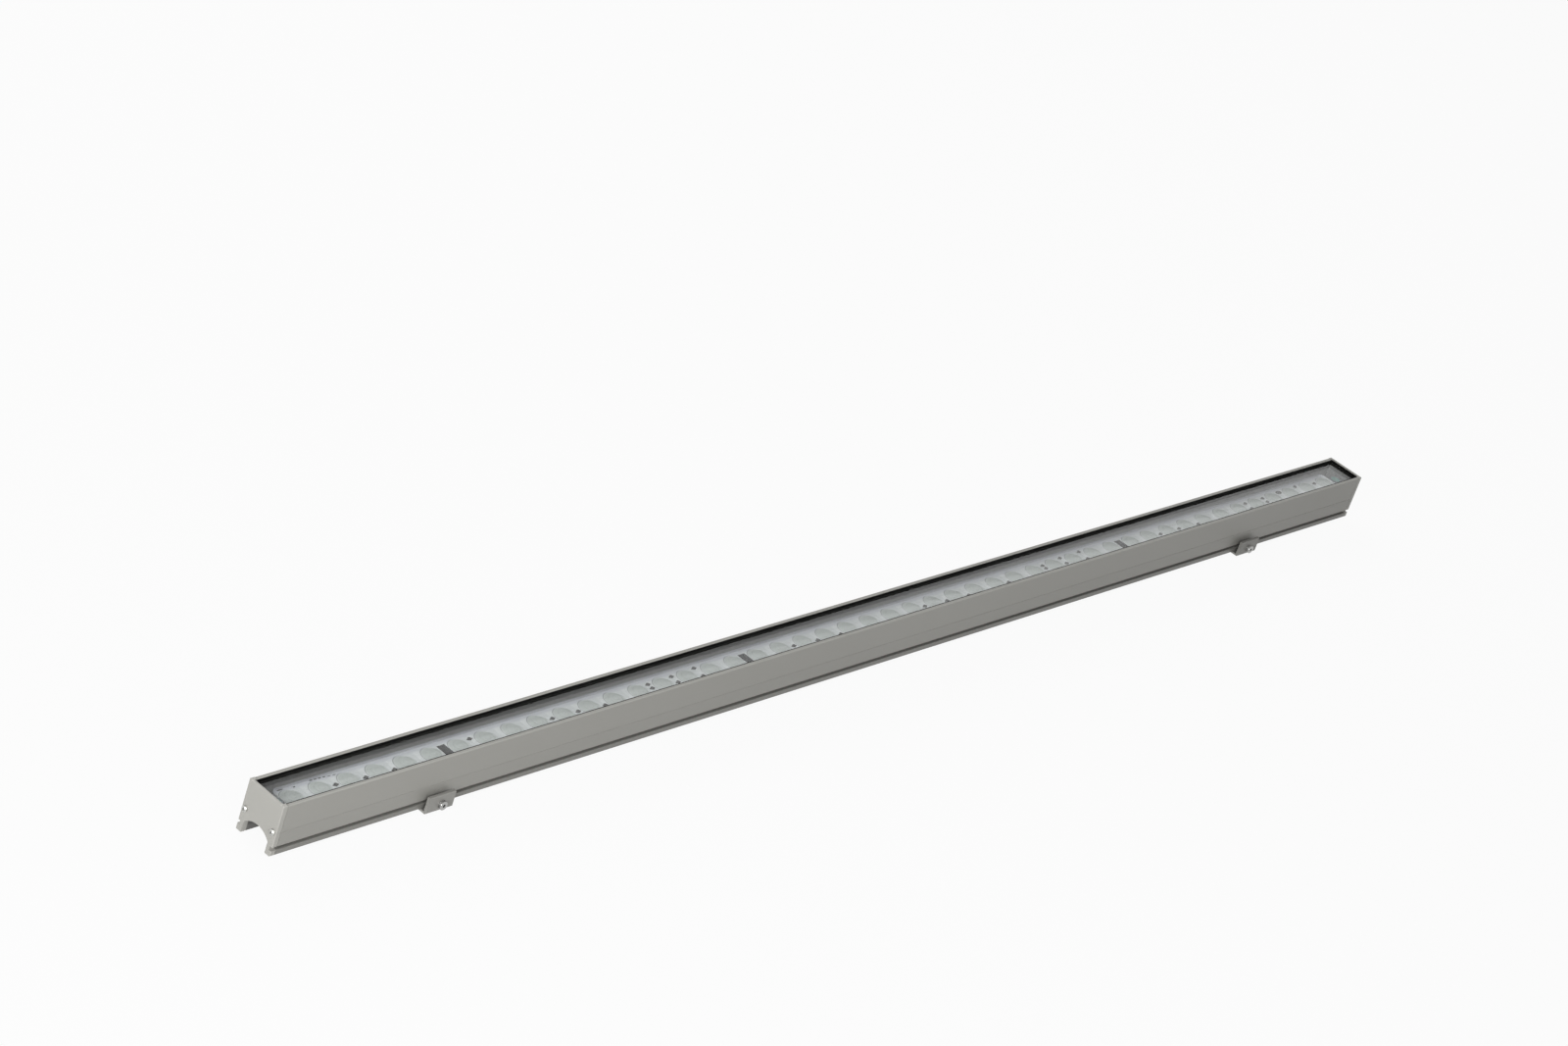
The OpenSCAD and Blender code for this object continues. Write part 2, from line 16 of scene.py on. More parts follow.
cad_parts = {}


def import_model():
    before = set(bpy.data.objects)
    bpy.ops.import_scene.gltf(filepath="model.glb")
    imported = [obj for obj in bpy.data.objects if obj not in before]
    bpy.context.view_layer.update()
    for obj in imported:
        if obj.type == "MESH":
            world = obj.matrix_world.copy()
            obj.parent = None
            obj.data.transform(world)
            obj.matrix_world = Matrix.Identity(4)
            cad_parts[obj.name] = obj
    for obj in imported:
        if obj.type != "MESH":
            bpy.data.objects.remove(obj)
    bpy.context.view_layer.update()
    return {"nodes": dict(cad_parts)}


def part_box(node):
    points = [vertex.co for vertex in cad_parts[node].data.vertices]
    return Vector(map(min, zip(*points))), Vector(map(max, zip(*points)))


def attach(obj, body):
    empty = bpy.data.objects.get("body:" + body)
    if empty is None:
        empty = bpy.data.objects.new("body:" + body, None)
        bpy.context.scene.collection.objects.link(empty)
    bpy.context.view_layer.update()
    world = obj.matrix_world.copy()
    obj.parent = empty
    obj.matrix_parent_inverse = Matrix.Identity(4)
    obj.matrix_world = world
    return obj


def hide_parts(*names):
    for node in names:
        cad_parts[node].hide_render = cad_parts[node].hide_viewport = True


LOG = logging.getLogger("wall_washer")
MM = 0.001
SMOOTH_ANGLE = math.radians(35)
LEVEL = 0.001 * MM
MERGE = 0.0001 * MM
Triple = tuple[float, float, float]
Colour = Triple
Number = int | float
Pair = tuple[float, float]


def srgb(red: int, green: int, blue: int) -> Colour:
    """Turn a colour as it is seen on a screen into a linear one.

    Args:
        red: Red from 0 to 255.
        green: Green from 0 to 255.
        blue: Blue from 0 to 255.

    Returns:
        The three linear values from 0 to 1.
    """
    shares = (red / 255, green / 255, blue / 255)
    return tuple(share / 12.92 if share <= 0.04045 else ((share + 0.055) / 1.055) ** 2.4 for share in shares)


def pair(first: float, second: float) -> Pair:
    """Give two lengths in metres from millimetres, such as the two sides of a soft edge."""
    return (first * MM, second * MM)


class End(Enum):
    """The two ends of the lamp."""

    LEFT = "left"
    RIGHT = "right"


class ScrewWay(Enum):
    """The two ways that the lamp's bright screws point."""

    ALONG = "along the lamp"
    ACROSS = "across the lamp"


# Shader expressions


class Value:
    """A socket in a shader tree that takes part in Python arithmetic."""

    def __init__(self, tree: "NodeMaker", socket: bpy.types.NodeSocket) -> None:
        """Hold an output socket and the tree that new nodes go into."""
        self.tree = tree
        self.socket = socket

    def _math(self, operation: str, first: "Value | Number", second: "Value | Number") -> "Value":
        """Add one Math node and give its result."""
        return self.tree.node("ShaderNodeMath", {"operation": operation}, {0: first, 1: second})

    def __add__(self, other: "Value | Number") -> "Value":
        """Add."""
        return self._math("ADD", self, other)

    def __radd__(self, other: Number) -> "Value":
        """Add to a number."""
        return self._math("ADD", other, self)

    def __sub__(self, other: "Value | Number") -> "Value":
        """Subtract."""
        return self._math("SUBTRACT", self, other)

    def __rsub__(self, other: Number) -> "Value":
        """Subtract from a number."""
        return self._math("SUBTRACT", other, self)

    def __mul__(self, other: "Value | Number") -> "Value":
        """Multiply."""
        return self._math("MULTIPLY", self, other)

    def __rmul__(self, other: Number) -> "Value":
        """Multiply a number."""
        return self._math("MULTIPLY", other, self)

    def __truediv__(self, other: "Value | Number") -> "Value":
        """Divide."""
        return self._math("DIVIDE", self, other)

    def __abs__(self) -> "Value":
        """Give the size without the sign."""
        return self._math("ABSOLUTE", self, 0)

    def above(self, edge: Pair) -> "Value":
        """Rise smoothly from 0 at the edge's start to 1 at its stop."""
        inputs = {"Value": self, "From Min": edge[0], "From Max": edge[1], "To Min": 0, "To Max": 1}
        return self.tree.node("ShaderNodeMapRange", {"interpolation_type": "SMOOTHSTEP"}, inputs)

    def below(self, edge: Pair) -> "Value":
        """Fall smoothly from 1 at the edge's start to 0 at its stop."""
        return 1 - self.above(edge)

    def near(self, place: float, width: float) -> "Value":
        """Give 1 at a place, falling to 0 a width away from it."""
        return abs(self - place).below((0, width))

    def swing(self, amount: float) -> "Value":
        """Turn a noise round 0.5 into one round 0 with another strength."""
        return (self - 0.5) * amount

    def root(self) -> "Value":
        """Give the square root."""
        return self._math("SQRT", self, 0)

    def fold(self, period: float) -> "Value":
        """Give the distance to the nearest multiple of a period."""
        return self._math("PINGPONG", self, period / 2)

    def wrap(self, period: float) -> "Value":
        """Give the signed offset from the nearest multiple of a period."""
        inputs = {0: self, 1: period / 2, 2: -period / 2}
        return self.tree.node("ShaderNodeMath", {"operation": "WRAP"}, inputs)


class NodeMaker:
    """A tree of shader nodes, with short ways to add to it."""

    def __init__(self, tree: bpy.types.NodeTree) -> None:
        """Take a tree over and empty it.

        Args:
            tree: The tree of a material or a world.
        """
        self.nodes = tree.nodes
        self.links = tree.links
        self.nodes.clear()

    def raw(self, kind: str, settings: dict, inputs: dict) -> bpy.types.Node:
        """Add a node, set it and feed its sockets.

        Args:
            kind: The node's type.
            settings: Its properties, set before the sockets.
            inputs: Values or links by socket name or number.

        Returns:
            The node.
        """
        node = self.nodes.new(kind)
        for key, value in settings.items():
            setattr(node, key, value)
        for key, value in inputs.items():
            if isinstance(value, Value):
                self.links.new(value.socket, node.inputs[key])
            elif isinstance(value, tuple) and node.inputs[key].type == "RGBA":
                node.inputs[key].default_value = (*value, 1)
            else:
                node.inputs[key].default_value = value
        return node

    def node(self, kind: str, settings: dict, inputs: dict, output: str | int = 0) -> Value:
        """Add a node as raw does, and give the output of that name or number."""
        return Value(self, self.raw(kind, settings, inputs).outputs[output])

    def rays(self, *kinds: str) -> Value:
        """Mask the rays of some kinds.

        Args:
            kinds: Names of the kinds, as in Is Camera Ray.

        Returns:
            1 for a ray of any of the kinds, and else 0.
        """
        path = self.raw("ShaderNodeLightPath", {}, {})
        mask, *others = (Value(self, path.outputs[f"Is {kind} Ray"]) for kind in kinds)
        for other in others:
            mask = self.node("ShaderNodeMath", {"operation": "MAXIMUM"}, {0: mask, 1: other})
        return mask

    def mixed(self, share: Value, first: Value, second: Value) -> Value:
        """Mix two shaders by the share of the second."""
        return self.node("ShaderNodeMixShader", {}, {0: share, 1: first, 2: second})


class ShaderTree(NodeMaker):
    """The node tree of one material, with places on the object and patterns to draw on it."""

    def __init__(self, name: str) -> None:
        """Start an empty material.

        Args:
            name: The material's name.
        """
        self.material = bpy.data.materials.new(name)
        self.material.use_nodes = True
        super().__init__(self.material.node_tree)
        self.place = self.node("ShaderNodeTexCoord", {}, {}, "Object")
        axes = self.raw("ShaderNodeSeparateXYZ", {}, {0: self.place})
        self.x, self.y, self.z = (Value(self, socket) for socket in axes.outputs)

    def noise(self, scale: Triple | Number, detail: float = 2, roughness: float = 0.5) -> Value:
        """Give soft noise round 0.5.

        Args:
            scale: Features per metre, alike or along each axis.
            detail: Octaves.
            roughness: Weight of the finer octaves.

        Returns:
            The noise.
        """
        scales = scale if isinstance(scale, tuple) else (scale, scale, scale)
        place = self.node("ShaderNodeVectorMath", {"operation": "MULTIPLY"}, {0: self.place, 1: scales})
        inputs = {"Vector": place, "Scale": 1, "Detail": detail, "Roughness": roughness}
        return self.node("ShaderNodeTexNoise", {}, inputs)

    def mix(self, share: Value, first: "Value | Colour", second: "Value | Colour") -> Value:
        """Mix two colours by the share of the second."""
        return self.node("ShaderNodeMix", {"data_type": "RGBA"}, {0: share, 6: first, 7: second}, 2)

    def shade(self, colour: "Value | Colour", amount: Value) -> Value:
        """Scale a colour by a value round 1."""
        return self.node("ShaderNodeVectorMath", {"operation": "SCALE"}, {0: colour, "Scale": amount})

    def bump(self, height: Value, depth: float, strength: float) -> Value:
        """Turn a height from 0 to 1 into a normal, by its real depth and the strength that shows."""
        inputs = {"Strength": strength, "Distance": depth, "Height": height}
        return self.node("ShaderNodeBump", {}, inputs)

    def round_axis(self, first: Value, second: Value) -> Value:
        """Give the distance from an axis by the two offsets from it."""
        return (first * first + second * second).root()

    def patch(self, along: float, half_length: Pair, half_width: Pair) -> Value:
        """Mask a patch round a place along the lamp, by the soft edges of its half length and width."""
        return abs(self.x - along).below(half_length) * abs(self.y).below(half_width)

    def surface(self, **inputs: "Value | Number | Colour") -> Value:
        """Add the surface shader, fed by the names of its sockets with _ for each space."""
        named = {key.replace("_", " "): value for key, value in inputs.items()}
        return self.node("ShaderNodeBsdfPrincipled", {}, named)

    def see_through(self, body: Value, tint: Colour, share: float) -> Value:
        """Let a tinted share of shadow and diffuse rays pass a clear body, to light what is under it."""
        through = self.node("ShaderNodeBsdfTransparent", {}, {"Color": tint})
        return self.mixed(self.rays("Shadow", "Diffuse") * share, body, through)

    def finish(self, shader: Value) -> bpy.types.Material:
        """Join a shader to the output and give the material."""
        self.raw("ShaderNodeOutputMaterial", {}, {"Surface": shader})
        return self.material

    def skin(self, **inputs: "Value | Number | Colour") -> bpy.types.Material:
        """Finish the material with the surface shader alone, fed as surface says."""
        return self.finish(self.surface(**inputs))


# Finishes


@dataclass(frozen=True)
class Trough:
    """The open trough of the housing, by the soft edges of its walls, its floor and its mouth."""

    walls: Pair
    floor: Pair
    mouth: Pair

    def mask(self, tree: ShaderTree) -> Value:
        """Mask what lies inside the trough."""
        return abs(tree.y).below(self.walls) * tree.z.above(self.floor) * tree.z.below(self.mouth)


@dataclass(frozen=True)
class ProfileShade:
    """How the extruded profile changes in tone: painted shade on the feet, in the grooves, under the arch
    and in the trough, whose walls darken towards the rim, and a little darker low on the sides.
    """

    foot: Pair = pair(4.3, 4.8)
    foot_shade: float = 0.3
    low_side: Pair = pair(15.4, 16.6)
    low_side_loss: float = 0.04
    groove_up: float = 5.8 * MM
    groove_half: Pair = pair(1.0, 1.35)
    groove_floor: Pair = pair(12.9, 13.4)
    groove_shade: float = 0.6
    arch_half: Pair = pair(11.0, 11.3)
    arch_top: Pair = pair(13.6, 13.9)
    arch_shade: float = 0.45
    trough: Trough = Trough(pair(11.6, 11.75), pair(14.2, 14.5), pair(32.1, 32.3))
    trough_shade: float = 0.6
    climb: Pair = pair(20, 28.5)
    climb_shade: float = 0.39
    trough_roughness: float = 0.35

    def tone(self, tree: ShaderTree, trough: Value) -> Value:
        """Give the factor on the coat's colour, which paints the shade of the profile.

        Args:
            tree: The material's tree.
            trough: Mask of the trough.

        Returns:
            The factor.
        """
        across = abs(tree.y)
        # painted shade: feet, grooves, arch and trough darker where less light reaches them
        foot = tree.z.below(self.foot) * self.foot_shade
        low_side = tree.z.below(self.low_side) * self.low_side_loss
        groove = abs(tree.z - self.groove_up).below(self.groove_half) * across.below(self.groove_floor)
        arch = across.below(self.arch_half) * tree.z.below(self.arch_top)
        inside = self.trough_shade + tree.z.above(self.climb) * self.climb_shade
        tone = (1 - foot - low_side) * (1 - groove * self.groove_shade)
        return tone * (1 - arch * self.arch_shade) * (1 - trough * inside)


@dataclass(frozen=True)
class CoatedMetal:
    """A satin grey coat on an extrusion or a casting, rubbed thin along the corners that it names."""

    name: str
    colour: Colour
    drawn: float = 0.03
    mottle: float = 0.05
    speckle: float = 0.1
    metallic: float = 0.12
    roughness: float = 0.42
    corners: tuple[Pair, ...] = ()
    corner_edge: Pair = pair(0.15, 0.7)
    bare: Colour = srgb(205, 204, 199)
    profile: ProfileShade | None = None

    def make(self) -> bpy.types.Material:
        """Make the material: fine grain, faint drawing lines along X, cloudy tone, painted shade of the
        profile and rubbed corners.

        Returns:
            The material.
        """
        tree = ShaderTree(self.name)
        lines = tree.noise((3, 1800, 1800), 3, 0.6)
        clouds = tree.noise((14, 40, 40), 3)
        speck = tree.noise(5200, 1)
        tone = 1 + lines.swing(self.drawn) + clouds.swing(self.mottle) + speck.swing(self.speckle)
        rough = self.roughness + clouds.swing(0.12) + speck.swing(0.1)
        metallic = self.metallic
        # painted shade of the profile's feet, grooves, arch and trough
        if self.profile:
            trough = self.profile.trough.mask(tree)
            tone = tone * self.profile.tone(tree, trough)
            rough = rough + trough * self.profile.trough_roughness
            metallic = metallic * (1 - trough)
        colour = tree.shade(self.colour, tone)
        if self.corners:
            worn = 0.12 + 0.2 * tree.noise((60, 900, 900))
            for across, up in self.corners:
                corner = tree.round_axis(abs(tree.y) - across, tree.z - up).below(self.corner_edge)
                colour = tree.mix(corner * worn, colour, self.bare)
        grain = tree.bump(speck * 0.7 + lines * 0.3, 0.03 * MM, 0.5)
        return tree.skin(Base_Color=colour, Roughness=rough, Metallic=metallic, Normal=grain)


@dataclass(frozen=True)
class TurnedSteel:
    """Bright steel with fine rings round the screw's axis."""

    name: str
    colour: Colour
    way: ScrewWay
    centre: Pair
    roughness: float = 0.28
    metallic: float = 0.92
    ring: float = 0.08 * MM
    ring_depth: float = 0.008 * MM

    def make(self) -> bpy.types.Material:
        """Make the material with its turning rings and faint smears.

        Returns:
            The material.
        """
        tree = ShaderTree(self.name)
        aside = abs(tree.y) if self.way is ScrewWay.ALONG else tree.x
        far = tree.round_axis(aside - self.centre[0], tree.z - self.centre[1])
        rings = far.fold(2 * self.ring) / self.ring
        smear = tree.noise(900, 3)
        return tree.skin(
            Base_Color=tree.shade(self.colour, 0.93 + rings * 0.08 + smear.swing(0.18)),
            Roughness=self.roughness + smear.swing(0.2),
            Metallic=self.metallic,
            Normal=tree.bump(rings, self.ring_depth, 0.4),
        )


@dataclass(frozen=True)
class PaneGlass:
    """A clear pane that lets light through to what lies under it."""

    name: str
    tint: Colour = (0.97, 0.985, 0.985)
    bend: float = 1.36
    gloss: float = 0.02
    dusty: Pair = (0.52, 0.8)

    def make(self) -> bpy.types.Material:
        """Make the pane: clear glass with a trace of dust, and no shadow of its own.

        Returns:
            The material.
        """
        tree = ShaderTree(self.name)
        dust = tree.noise((60, 160, 160), 3).above(self.dusty)
        pane = tree.surface(
            Base_Color=self.tint,
            Roughness=0.004 + dust * 0.03,
            IOR=self.bend,
            Transmission_Weight=1.0,
            Specular_IOR_Level=self.gloss,
        )
        return tree.finish(tree.see_through(pane, self.tint, 1))


@dataclass(frozen=True)
class SealRubber:
    """Smooth rubber of the cable seals."""

    name: str
    colour: Colour
    roughness: float = 0.45
    ripple: float = 0.03 * MM
    gloss: float = 0.4

    def make(self) -> bpy.types.Material:
        """Make the material with soft ripples and a little dust.

        Returns:
            The material.
        """
        tree = ShaderTree(self.name)
        waves = tree.noise((90, 500, 500), 3)
        dust = tree.noise(2600)
        return tree.skin(
            Base_Color=tree.shade(self.colour, 0.85 + waves * 0.2 + dust * 0.1),
            Roughness=self.roughness + dust.swing(0.15),
            Specular_IOR_Level=self.gloss,
            Normal=tree.bump(waves, self.ripple, 0.6),
        )


@dataclass(frozen=True)
class GasketRubber:
    """Grey sheet rubber, pale along its edge and in shade inside the trough."""

    name: str
    edge: Colour = srgb(150, 149, 144)
    face: Colour = srgb(92, 92, 90)
    trough: Trough = Trough(pair(11.5, 11.9), pair(14.2, 14.6), pair(31.6, 32.2))
    roughness: float = 0.75
    gloss: float = 0.3
    texture: float = 0.03 * MM

    def make(self) -> bpy.types.Material:
        """Make the material with its fine texture and the darker face between the trough's walls.

        Returns:
            The material.
        """
        tree = ShaderTree(self.name)
        fine = tree.noise(2400)
        clouds = tree.noise((120, 160, 160))
        colour = tree.mix(self.trough.mask(tree), self.edge, self.face)
        return tree.skin(
            Base_Color=tree.shade(colour, 0.9 + fine * 0.1 + clouds * 0.1),
            Roughness=self.roughness + fine.swing(0.1),
            Specular_IOR_Level=self.gloss,
            Normal=tree.bump(fine, self.texture, 0.6),
        )


@dataclass(frozen=True)
class BlackBead:
    """Black sealant: clean and deep above the pane, dusty grey where it is seen through the pane's edge."""

    name: str
    pane_top: float
    deep: Colour = srgb(9, 9, 9)
    dusty: Colour = srgb(44, 44, 42)
    change: Pair = pair(-0.4, 0.3)
    roughness: float = 0.6
    gloss: float = 0.05
    ripple: float = 0.08 * MM

    def make(self) -> bpy.types.Material:
        """Make the material with soft ripples and the change of tone at the pane's top.

        Returns:
            The material.
        """
        tree = ShaderTree(self.name)
        waves = tree.noise((90, 500, 500), 3)
        dust = tree.noise(2600)
        low = (tree.z - self.pane_top).below(self.change) * (0.8 + waves * 0.2)
        return tree.skin(
            Base_Color=tree.mix(low, tree.shade(self.deep, 0.8 + dust * 0.4), self.dusty),
            Roughness=self.roughness + dust.swing(0.15),
            Specular_IOR_Level=self.gloss,
            Normal=tree.bump(waves, self.ripple, 0.5),
        )


@dataclass(frozen=True)
class Arc:
    """A thin arc in a lens: its radius, the width that it fades over, and how much of it shows."""

    radius: float
    fade: float
    share: float

    def drawn(self, far: Value) -> Value:
        """Draw the arc by the distance from its middle."""
        return far.near(self.radius, self.fade) * self.share


@dataclass(frozen=True)
class LensPlastic:
    """Moulded optical plastic: a bright clouded plate with grey-green lenses in it."""

    name: str
    first: float
    pitch: float
    radius: float
    half: float
    joints: tuple[float, ...]
    field: Colour = srgb(236, 238, 238)
    bright: Colour = srgb(252, 253, 253)
    # shore and border: painted shade along the plate's edges, under the trough's walls
    shore_shade: Colour = srgb(210, 210, 218)
    border_shade: Colour = srgb(154, 154, 161)
    disc: Colour = srgb(209, 214, 209)
    line: Colour = srgb(104, 108, 106)
    # painted shade in the screw slots
    slot_shade: Colour = srgb(34, 34, 32)
    gap_edge: Pair = pair(-6.5, -4.0)
    shore_edge: Pair = pair(4.5, 8.0)
    border_edge: Pair = pair(-1.9, -0.7)
    disc_edge: Pair = pair(-1.0, 0.1)
    ring_out: float = 0.02 * MM
    ring_fade: float = 0.42 * MM
    ring_shade_side: Pair = pair(-3.5, 1.5)
    shift: Pair = pair(0.9, 0.7)
    inner: Arc = Arc(4.3 * MM, 0.5 * MM, 0.3)
    heart: Arc = Arc(1.9 * MM, 0.4 * MM, 0.16)
    # painted highlight: the glint arc
    glint: Arc = Arc(5.4 * MM, 0.7 * MM, 0.7)
    glint_side: Pair = pair(1.0, 4.0)
    cut_length: Pair = pair(2.9, 3.0)
    cut_width: Pair = pair(5.35, 5.5)
    cloudy: Pair = (0.4, 0.6)
    streaky: Pair = (0.35, 0.6)
    sparse: Pair = (0.45, 0.6)
    clear: float = 0.2
    bend: float = 1.45
    flow_depth: float = 0.08 * MM
    passing: Colour = (0.95, 0.96, 0.96)
    passing_share: float = 0.8

    def _colour(self, tree: ShaderTree) -> Value:
        """Give the colour of the plate: its field, the painted shade along its lilac edges, and the lenses
        with their rings, with painted shade on one side of each ring and painted glints.

        Args:
            tree: The material's tree.

        Returns:
            The colour.
        """
        haze = tree.noise((45, 120, 120), 3)
        streaks = tree.noise((160, 500, 500), 3, 0.6)
        patches = tree.noise((210, 330, 330))
        along = (tree.x - self.first).wrap(self.pitch)
        across = abs(tree.y)
        far = tree.round_axis(along, tree.y)
        shifted = tree.round_axis(along - self.shift[0], tree.y - self.shift[1])
        gap = along.below(self.gap_edge) * (0.45 + patches.above(self.cloudy) * 0.55)
        colour = tree.mix(gap, self.field, self.bright)
        # painted shade: the plate darker towards its edges
        colour = tree.mix(across.above(self.shore_edge) * (0.75 + patches * 0.4), colour, self.shore_shade)
        colour = tree.mix((across - self.half).above(self.border_edge), colour, self.border_shade)
        disc = (far - self.radius).below(self.disc_edge) * (0.75 + streaks * 0.35)
        colour = tree.mix(disc, colour, self.disc)
        # painted shade: each ring darker on its side towards the left end
        side = 0.14 + along.below(self.ring_shade_side) * 0.66
        ring = far.near(self.radius + self.ring_out, self.ring_fade) * side
        inner = self.inner.drawn(shifted) * streaks.above(self.streaky)
        colour = tree.mix(ring + inner + self.heart.drawn(shifted), colour, self.line)
        # painted highlight: bright glints on the lenses' right side
        glint = self.glint.drawn(shifted) * along.above(self.glint_side) * patches.above(self.sparse)
        colour = tree.mix(glint, colour, self.bright)
        return tree.mix((haze - 0.4) * 0.5, colour, self.bright)

    def make(self) -> bpy.types.Material:
        """Make the material: the moulded colour, painted shade in the slots round the screws, flow lines and
        haze.

        Returns:
            The material.
        """
        tree = ShaderTree(self.name)
        flow = tree.noise((120, 260, 260), 3)
        colour = self._colour(tree)
        # painted shade: the plate dark round each screw slot
        for place in self.joints:
            colour = tree.mix(tree.patch(place, self.cut_length, self.cut_width), colour, self.slot_shade)
        body = tree.surface(
            Base_Color=colour,
            Roughness=0.12 + flow * 0.1,
            IOR=self.bend,
            Transmission_Weight=self.clear,
            Normal=tree.bump(flow, self.flow_depth, 0.5),
        )
        return tree.finish(tree.see_through(body, self.passing, self.passing_share))


@dataclass(frozen=True)
class Moulded:
    """A moulded or printed surface with fine texture."""

    name: str
    colour: Colour
    roughness: float = 0.5
    speckle: float = 0.1
    scale: float = 3000
    depth: float = 0.02 * MM
    metallic: float = 0.0

    def make(self) -> bpy.types.Material:
        """Make the material with its speckle and fine bump.

        Returns:
            The material.
        """
        tree = ShaderTree(self.name)
        fine = tree.noise(self.scale)
        broad = tree.noise(150)
        return tree.skin(
            Base_Color=tree.shade(self.colour, 1 + fine.swing(self.speckle) + broad.swing(0.08)),
            Roughness=self.roughness + fine.swing(0.15),
            Metallic=self.metallic,
            Normal=tree.bump(fine, self.depth, 0.6),
        )


@dataclass(frozen=True)
class PinPlastic:
    """Dark plastic that turns paler towards the right end of the lamp."""

    name: str
    dark: Colour = srgb(54, 54, 51)
    pale: Colour = srgb(96, 96, 92)
    pale_rise: Pair = pair(-100, 400)
    roughness: float = 0.9
    texture: float = 0.02 * MM

    def make(self) -> bpy.types.Material:
        """Make the material: paler by its place along the lamp, and a fine speckle.

        Returns:
            The material.
        """
        tree = ShaderTree(self.name)
        fine = tree.noise(3000)
        dark = tree.shade(self.dark, 0.95 + fine * 0.1)
        return tree.skin(
            Base_Color=tree.mix(tree.x.above(self.pale_rise), dark, self.pale),
            Roughness=self.roughness + fine.swing(0.15),
            Normal=tree.bump(fine, self.texture, 0.6),
        )


@dataclass(frozen=True)
class BoardMask:
    """White solder mask with a dark pad round each screw, whose darkness also paints the shade in the screw
    slot.
    """

    name: str
    joints: tuple[float, ...]
    colour: Colour = srgb(226, 227, 224)
    pad: Colour = srgb(46, 46, 44)
    pad_length: Pair = pair(3.5, 3.7)
    pad_width: Pair = pair(6.0, 6.3)
    texture: float = 0.01 * MM

    def make(self) -> bpy.types.Material:
        """Make the material: fine orange peel, and the pads by their distance from the joints.

        Returns:
            The material.
        """
        tree = ShaderTree(self.name)
        peel = tree.noise(2500)
        colour = tree.shade(self.colour, 0.98 + peel * 0.04)
        # dark pads: partly real pads, partly painted shade in the screw slots
        for place in self.joints:
            colour = tree.mix(tree.patch(place, self.pad_length, self.pad_width), colour, self.pad)
        normal = tree.bump(peel, self.texture, 0.6)
        return tree.skin(Base_Color=colour, Roughness=0.35 + peel * 0.1, Normal=normal)


@dataclass(frozen=True)
class ChipFinish:
    """A white chip body with a yellow phosphor under a clear dome."""

    name: str
    first: float
    pitch: float
    body: Colour = srgb(226, 224, 214)
    phosphor: Colour = srgb(238, 205, 88)
    phosphor_edge: Pair = pair(1.1, 1.3)

    def make(self) -> bpy.types.Material:
        """Make the material: the phosphor disc in the middle of a pale body.

        Returns:
            The material.
        """
        tree = ShaderTree(self.name)
        far = tree.round_axis((tree.x - self.first).fold(self.pitch), tree.y)
        crumbs = tree.noise(7000)
        phosphor = tree.shade(self.phosphor, 0.9 + crumbs * 0.2)
        colour = tree.mix(far.below(self.phosphor_edge), self.body, phosphor)
        return tree.skin(Base_Color=colour, Roughness=0.3 + crumbs * 0.1, Coat_Weight=0.6)


@dataclass(frozen=True)
class ResistorFinish:
    """A dark resistor body with bright ends."""

    name: str
    first: float
    pitch: float
    body: Colour = srgb(38, 38, 40)
    tin: Colour = srgb(196, 196, 192)
    tin_edge: Pair = pair(0.62, 0.7)

    def make(self) -> bpy.types.Material:
        """Make the material: tinned ends by their distance from the resistor's middle.

        Returns:
            The material.
        """
        tree = ShaderTree(self.name)
        ends = (tree.x - self.first).fold(self.pitch).above(self.tin_edge)
        crumbs = tree.noise(5000)
        colour = tree.mix(ends, tree.shade(self.body, 0.8 + crumbs * 0.4), self.tin)
        return tree.skin(Base_Color=colour, Roughness=0.55 - ends * 0.2, Metallic=ends * 0.8)


# Mesh help


def turned(profile: list[Pair], segments: int) -> bmesh.types.BMesh:
    """Spin a profile of radius and height once round Z.

    Args:
        profile: Points from the axis round the outside and back to the axis, or back to the first point.
        segments: Steps of the spin.

    Returns:
        The closed mesh.
    """
    mesh = bmesh.new()
    points = [mesh.verts.new((radius, 0, height)) for radius, height in profile]
    edges = [mesh.edges.new(pair) for pair in zip(points, points[1:])]
    bmesh.ops.spin(
        mesh, geom=points + edges, cent=(0, 0, 0), axis=(0, 0, 1), angle=math.tau, steps=segments,
        use_merge=True, use_duplicate=False,
    )
    bmesh.ops.remove_doubles(mesh, verts=mesh.verts, dist=MERGE)
    return mesh


def soften(mesh: bmesh.types.BMesh, edges: list[bmesh.types.BMEdge], radius: float, segments: int) -> None:
    """Round some edges of a mesh.

    Args:
        mesh: The mesh.
        edges: Its edges to round.
        radius: Radius of the rounding.
        segments: Steps across it.
    """
    bmesh.ops.bevel(
        mesh, geom=edges, offset=radius, affect="EDGES", segments=segments, profile=0.5, material=-1
    )


def edges_at(mesh: bmesh.types.BMesh, height: float) -> list[bmesh.types.BMEdge]:
    """Give the edges whose two ends lie at a height."""
    return [edge for edge in mesh.edges if all(abs(end.co.z - height) < LEVEL for end in edge.verts)]


def raise_to(mesh: bmesh.types.BMesh, height: float) -> None:
    """Shift a mesh up or down until its highest point is at a height."""
    highest = max(corner.co.z for corner in mesh.verts)
    bmesh.ops.translate(mesh, vec=(0, 0, height - highest), verts=mesh.verts)


